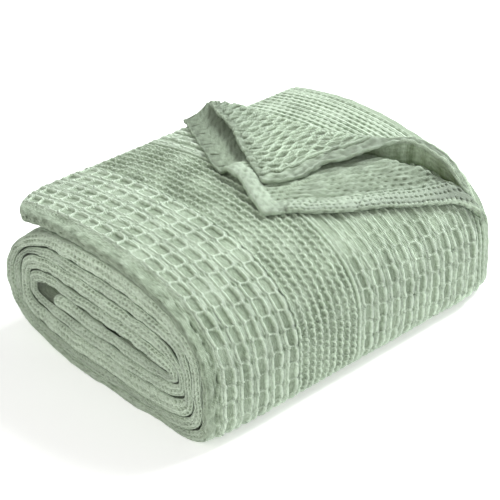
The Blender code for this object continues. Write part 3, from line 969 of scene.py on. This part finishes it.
def lower_weave(x, y, left, right, step):
    """Height of the lower layer's weave: its face, its two hems, and the pocket at the left end.

    The face has rows of soft dashes that fade away from the right hem, and painted shade towards its
    crest at the right end, under and beside the upper layer's rim. The right hem has three rows of
    slanting slits and a raised cord, and the left hem has ticks across it and painted shade at its
    left end. Behind the left hem's end the cloth dips into a pocket with a faint weave, painted dark
    as the shade under the upper layer's edge.
    """
    pulled = 1.1 * waves(x, y, 29.0, 3.0)
    inside = right - HEM_WIDTH
    rows = dashes(left + pulled, inside + 0.8 * waves(x, y, 37.0, 5.0), 9.0, 5.0, 0.85, 0.6)
    shown = np.clip(0.8 - inside / 40.0 + 0.35 * waves(x, y, 43.0, 8.0), 0.1, 0.75)
    face = 0.3 + 0.3 * waves(left, 4 * right, 23.0, 6.0) - 1.5 * rows * shown

    # The right hem's slits.
    slits = dashes(left + 0.9 * right + 0.6 * pulled, right - 2.4, 5.4, 3.6, 0.85, 0.8)
    slit_depth = (0.75 + 0.25 * waves(x, y, 19.0, 4.0)) * mixed(1, 0.6, smooth_step(x, 55, 100))
    slitted = 1.45 - 2.6 * slits * slit_depth
    between_edges = smooth_step(right, 0.8, 1.4) * (1 - smooth_step(right, 10.8, 11.6))
    in_slits = between_edges * smooth_step(left, 22, 28)

    # Both hems.
    dots = dashes(x + 0.6 * pulled, y, 7.0, 5.0, 0.8, 0.7) * (right < 90)
    plain = 0.5 + 0.3 * waves(x, y, 9.0, 4.0) - 0.5 * dots
    along_left = x * 0.78 - y * 0.62
    ticks = cord((along_left / TICK_PITCH % 1 - 0.5) * TICK_PITCH, 1.5) * smooth_step(right, 75, 90)
    ticks = ticks * smooth_step(left, 3, 5) * (1 - smooth_step(left, 11, 12.5))
    # The hem's left end, turned away from the light, is painted darker as shade.
    left_hem = 0.7 * plain - 0.3 + 0.75 * smooth_step(x, -22, -8) - 1.9 * ticks
    hem = np.where(left < HEM_WIDTH + 1.5, left_hem, plain) + 0.4 * cord(right - 12.8, 1.5) * (right < left)
    hem = mixed(hem, slitted, in_slits)

    # All together.
    in_face = smooth_step(left, HEM_WIDTH, HEM_WIDTH + 2) * smooth_step(right, 13.4, 15)
    # Towards its crest at the right end, under and beside the upper layer's rim, the face is painted darker
    # as shade.
    lens_shade = 1.1 * smooth_step(step, 0.6, 0.95) * smooth_step(x, 95, 120)
    height = mixed(hem, face, in_face) - lens_shade
    # The pocket is painted dark as the shade under the upper layer's edge.
    pocket_shade = smooth_step(left, HEM_WIDTH - HEM_EASE, HEM_WIDTH) * (1 - smooth_step(x, -35, -12))
    pocket_dashes = dashes(x + 0.7 * y + 2 * pulled, left + 1.5 + pulled, 8.0, 9.0, 0.55, 1.6)
    return mixed(height, 0.15 - 0.45 * pocket_dashes, pocket_shade)


# The single thickness is a little greener on its ropes, and lets some light through.
SINGLE_RIDGE_COLOUR = "dff2da"
SINGLE_GLOW = 0.13

single_cotton = woven_cotton(
    "woven_cotton_single_layer", SINGLE_RIDGE_COLOUR, FLOOR_COLOUR, DEEP_SHADE_COLOUR, SINGLE_GLOW
)
lower_layer = turned_back_layer(
    "lower_layer", LOWER_ROWS, LOWER_CORNER, lower_weave, LOWER_LINES, single_cotton
)
dress(lower_layer)


# --------------------------------------
# The upper turned-back layer: the second hemmed corner of the same cotton, over the first, with large
# cells inside a hem that is stitched down by a raised cord. Its right rim stands clear of the roll,
# so that one looks in under it.

UPPER_ROWS = np.array((
    (-139, 76, 143.5, -140, 78, 143.5),
    (-124, 67.5, 147.5, -124, 80.5, 147.5),
    (-105, 56, 152, -106, 83, 152),
    (-73, 42.5, 155, -68, 83, 156),
    (-33, 17.5, 156, -18, 86, 160),
    (-4, 3, 153.6, 0, 91, 160),
    (28.5, -12, 149.7, 14, 96, 160),
    (38.7, 7, 148.5, 24, 100, 160),
    (43, 22, 148.7, 31, 104, 160),
    (44.7, 50, 153, 38, 107, 160),
    (55, 79, 154, 46, 112, 160),
    (59, 98, 155, 53, 117, 159.5),
    (61, 113, 155, 58, 122, 158.5),
    (68, 131, 156, 65, 136, 157.5),
    (76, 139, 156, 72.5, 147, 156.5),
    (89.5, 145, 152, 86.5, 154, 152),
    (104, 149, 146, 101, 158, 146),
    (113, 153, 138, 110.5, 162, 138),
    (122, 154.5, 128, 121, 163, 127.5),
    (127, 157, 119, 126.5, 165, 118),
    (132, 163, 107, 132, 168, 105),
))
UPPER_CORNER = 6
UPPER_LINES = 76
UPPER_CELL = (16.0, 11.4)
UPPER_HEM = 15.0
SLIT_PITCH = 10.0
# Distances from the right edge: the raised cord, the groove beside it, and the rolled rim.
STITCH_CORD = 13.6
STITCH_GROOVE = 11.6
RIM_CORD = 1.2


def upper_weave(x, y, left, right, step):
    """Height of the upper layer's weave: cells longer along the left hem, and a plain right hem.

    A raised cord with a groove beside it runs along the right hem's stitching, and a low one along
    its rim. Fine slits cross the edge of the left hem.
    """
    pulled = 1.2 * waves(x, y, 33.0, 3.0)
    cells = honeycomb(
        left + pulled + 0.25 * right, right - UPPER_HEM + pulled, *UPPER_CELL,
        half_wide=4.4, waist=0.05, pinch=0.6, bars=0.8, level=0.3, dimples=1.1,
    )
    cells = 1.2 * cells - 0.4 + 0.25 * waves(left, 3 * right, 19.0, 2.0)
    in_face = smooth_step(left, 5, 7) * smooth_step(right, 13.4, 14.4) * (1 - smooth_step(step, 0.97, 1.02))
    plain = 0.4 + 0.25 * waves(left, 2.5 * right, 17.0, 4.0) + 0.2 * waves(x, y, 8.0, 1.0)
    along_left = x * 0.82 - y * 0.57
    slits = cord((along_left / SLIT_PITCH % 1 - 0.5) * SLIT_PITCH, 1.0) * (left < 6) * (right > 20)
    height = mixed(plain - 0.6 * slits, cells, in_face)
    line = right - 0.9 * waves(left, 0, 15.0, 3.0)
    stitches = cord(line - STITCH_CORD, 1.3) - 1.2 * cord(line - STITCH_GROOVE, 1.0)
    stitches = stitches + 0.5 * cord(right - RIM_CORD, 1.4)
    return height + stitches * smooth_step(left, 1, 3) * (step < 0.95)


upper_layer = turned_back_layer(
    "upper_layer", UPPER_ROWS, UPPER_CORNER, upper_weave, UPPER_LINES, single_cotton
)
dress(upper_layer)


# --------------------------------------
# The studio: a floor of pale matte paper that is lit from within, so that it stays nearly white, a
# soft cool lamp behind, a wide warm one in front, and the camera to the front right.

# In metres. The floor lies just below zero, so that the roll's underside doesn't cut it.
FLOOR_HALF = 4.0
FLOOR_Z = -0.0002
PAPER_COLOUR = "f4f4f4"
PAPER_GLOW = 0.36
LIGHTS_AIM = (0, 0, 0.06)
SKY_STRENGTH = 0.5
CAMERA_AZIMUTH = 46.0
CAMERA_ELEVATION = 30.3
CAMERA_DISTANCE = 1.62
CAMERA_AIM = (-0.00095, 0.0, 0.063)
FOCAL_LENGTH = 122.4
SENSOR_WIDTH = 36.0
WHITE = (1, 1, 1, 1)

corners = [(x * FLOOR_HALF, y * FLOOR_HALF, FLOOR_Z) for x, y in ((-1, -1), (1, -1), (1, 1), (-1, 1))]
floor_mesh = bpy.data.meshes.new("floor")
floor_mesh.from_pydata(corners, [], [(0, 1, 2, 3)])
floor = bpy.data.objects.new("floor", floor_mesh)
bpy.context.scene.collection.objects.link(floor)
paper = bpy.data.materials.new("pale_paper")
paper.use_nodes = True
paper_inputs = paper.node_tree.nodes["Principled BSDF"].inputs
paper_inputs["Base Color"].default_value = linear(PAPER_COLOUR)
paper_inputs["Roughness"].default_value = 0.9
paper_inputs["Emission Color"].default_value = WHITE
paper_inputs["Emission Strength"].default_value = PAPER_GLOW
floor_mesh.materials.append(paper)


def soft_light(name, place, size, power, colour):
    """A square area light at a place, facing the roll."""
    data = bpy.data.lights.new(name, "AREA")
    data.energy = power
    data.color = colour
    data.size = size
    light = bpy.data.objects.new(name, data)
    light.location = place
    light.rotation_euler = (Vector(LIGHTS_AIM) - Vector(place)).to_track_quat("-Z", "Y").to_euler()
    bpy.context.scene.collection.objects.link(light)


soft_light("key", place=(0.12, 1.05, 1.28), size=0.75, power=38.0, colour=(0.97, 0.99, 1.0))
soft_light("fill", place=(0.3, -1.6, 1.0), size=1.8, power=11.0, colour=(1.0, 0.97, 0.88))
world = bpy.data.worlds.new("studio")
world.use_nodes = True
sky = world.node_tree.nodes["Background"].inputs
sky["Color"].default_value = WHITE
sky["Strength"].default_value = SKY_STRENGTH
bpy.context.scene.world = world
bpy.context.scene.view_settings.view_transform = "Standard"

azimuth, elevation = np.radians(CAMERA_AZIMUTH), np.radians(CAMERA_ELEVATION)
level = np.cos(elevation)
back = np.array((np.sin(azimuth) * level, -np.cos(azimuth) * level, np.sin(elevation)))
camera_data = bpy.data.cameras.new("camera")
camera_data.lens = FOCAL_LENGTH
camera_data.sensor_width = SENSOR_WIDTH
camera = bpy.data.objects.new("camera", camera_data)
camera.location = tuple(np.array(CAMERA_AIM) + CAMERA_DISTANCE * back)
camera.rotation_euler = (np.pi / 2 - elevation, 0.0, azimuth)
bpy.context.scene.collection.objects.link(camera)
bpy.context.scene.camera = camera
